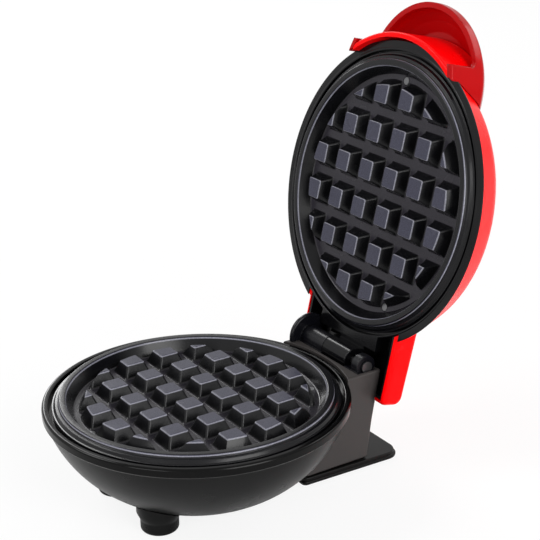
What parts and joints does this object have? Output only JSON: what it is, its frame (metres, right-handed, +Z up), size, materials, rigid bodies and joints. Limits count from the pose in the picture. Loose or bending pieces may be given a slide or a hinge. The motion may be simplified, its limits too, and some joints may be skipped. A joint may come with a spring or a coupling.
{
  "type": "mini waffle maker",
  "caption": "Round countertop waffle maker: bowl-shaped base with front feet and a rear stand, and a hinged lid with a hooded handle, each holding a studded cooking plate.",
  "frame": {"origin": "middle of the footprint, on the surface that the feet stand on, with the lid open as at rest", "axes": "+X to the right seen from the front, along the hinge; -Y towards the user; +Z up"},
  "size_m": [0.128, 0.192, 0.1902],
  "materials": {
    "black_plastic": "glossy black heat-resistant moulding",
    "stand_plastic": "satin charcoal moulding",
    "red_plastic": "glossy red moulding",
    "coated_plate": "cast aluminium with a dark non-stick coating",
    "heater_sheath": "dull oxidised steel sheath",
    "reflector_sheet": "bright rolled sheet",
    "plated_steel": "zinc-plated",
    "ceramic": "unglazed cream steatite",
    "lead_insulation": "braided glass-fibre sleeve",
    "rubber": "matt black",
    "lens_plastic": "clear amber",
    "lamp_glass": "small neon lamp"
  },
  "bodies": {
    "base": {"base_shell": "black_plastic", "base_ring": "black_plastic", "lower_plate": "coated_plate", "lower_heating_element": "heater_sheath", "lower_reflector": "reflector_sheet", "lower_plate_screw_front": "plated_steel", "lower_plate_screw_rear": "plated_steel", "thermostat": "ceramic", "thermal_fuse": "plated_steel", "terminal_block": "ceramic", "heater_lead_left": "lead_insulation", "heater_lead_right": "lead_insulation", "front_foot_left": "black_plastic", "front_foot_right": "black_plastic", "rear_stand": "stand_plastic", "foot_plate": "stand_plastic", "foot_plate_screw_1": "plated_steel", "foot_plate_screw_2": "plated_steel", "foot_plate_screw_3": "plated_steel", "foot_plate_screw_4": "plated_steel", "rear_foot_pad_left": "rubber", "rear_foot_pad_right": "rubber", "cord_bush": "rubber", "hinge_bracket": "black_plastic", "hinge_bracket_screw_1": "plated_steel", "hinge_bracket_screw_2": "plated_steel", "hinge_pin": "plated_steel"},
    "lid": {"lid_shell": "red_plastic", "lid_liner": "black_plastic", "upper_plate": "coated_plate", "upper_heating_element": "heater_sheath", "upper_reflector": "reflector_sheet", "upper_plate_screw_front": "plated_steel", "upper_plate_screw_rear": "plated_steel", "lid_handle": "red_plastic", "indicator_lens": "lens_plastic", "indicator_lamp": "lamp_glass"}
  },
  "joints": [
    {"name": "lid_hinge", "type": "hinge", "parent": "base", "child": "lid", "pos_m": [0, 0.03812, 0.0455], "axis": [1, 0, 0], "range_deg": [0, 103.7]}
  ]
}
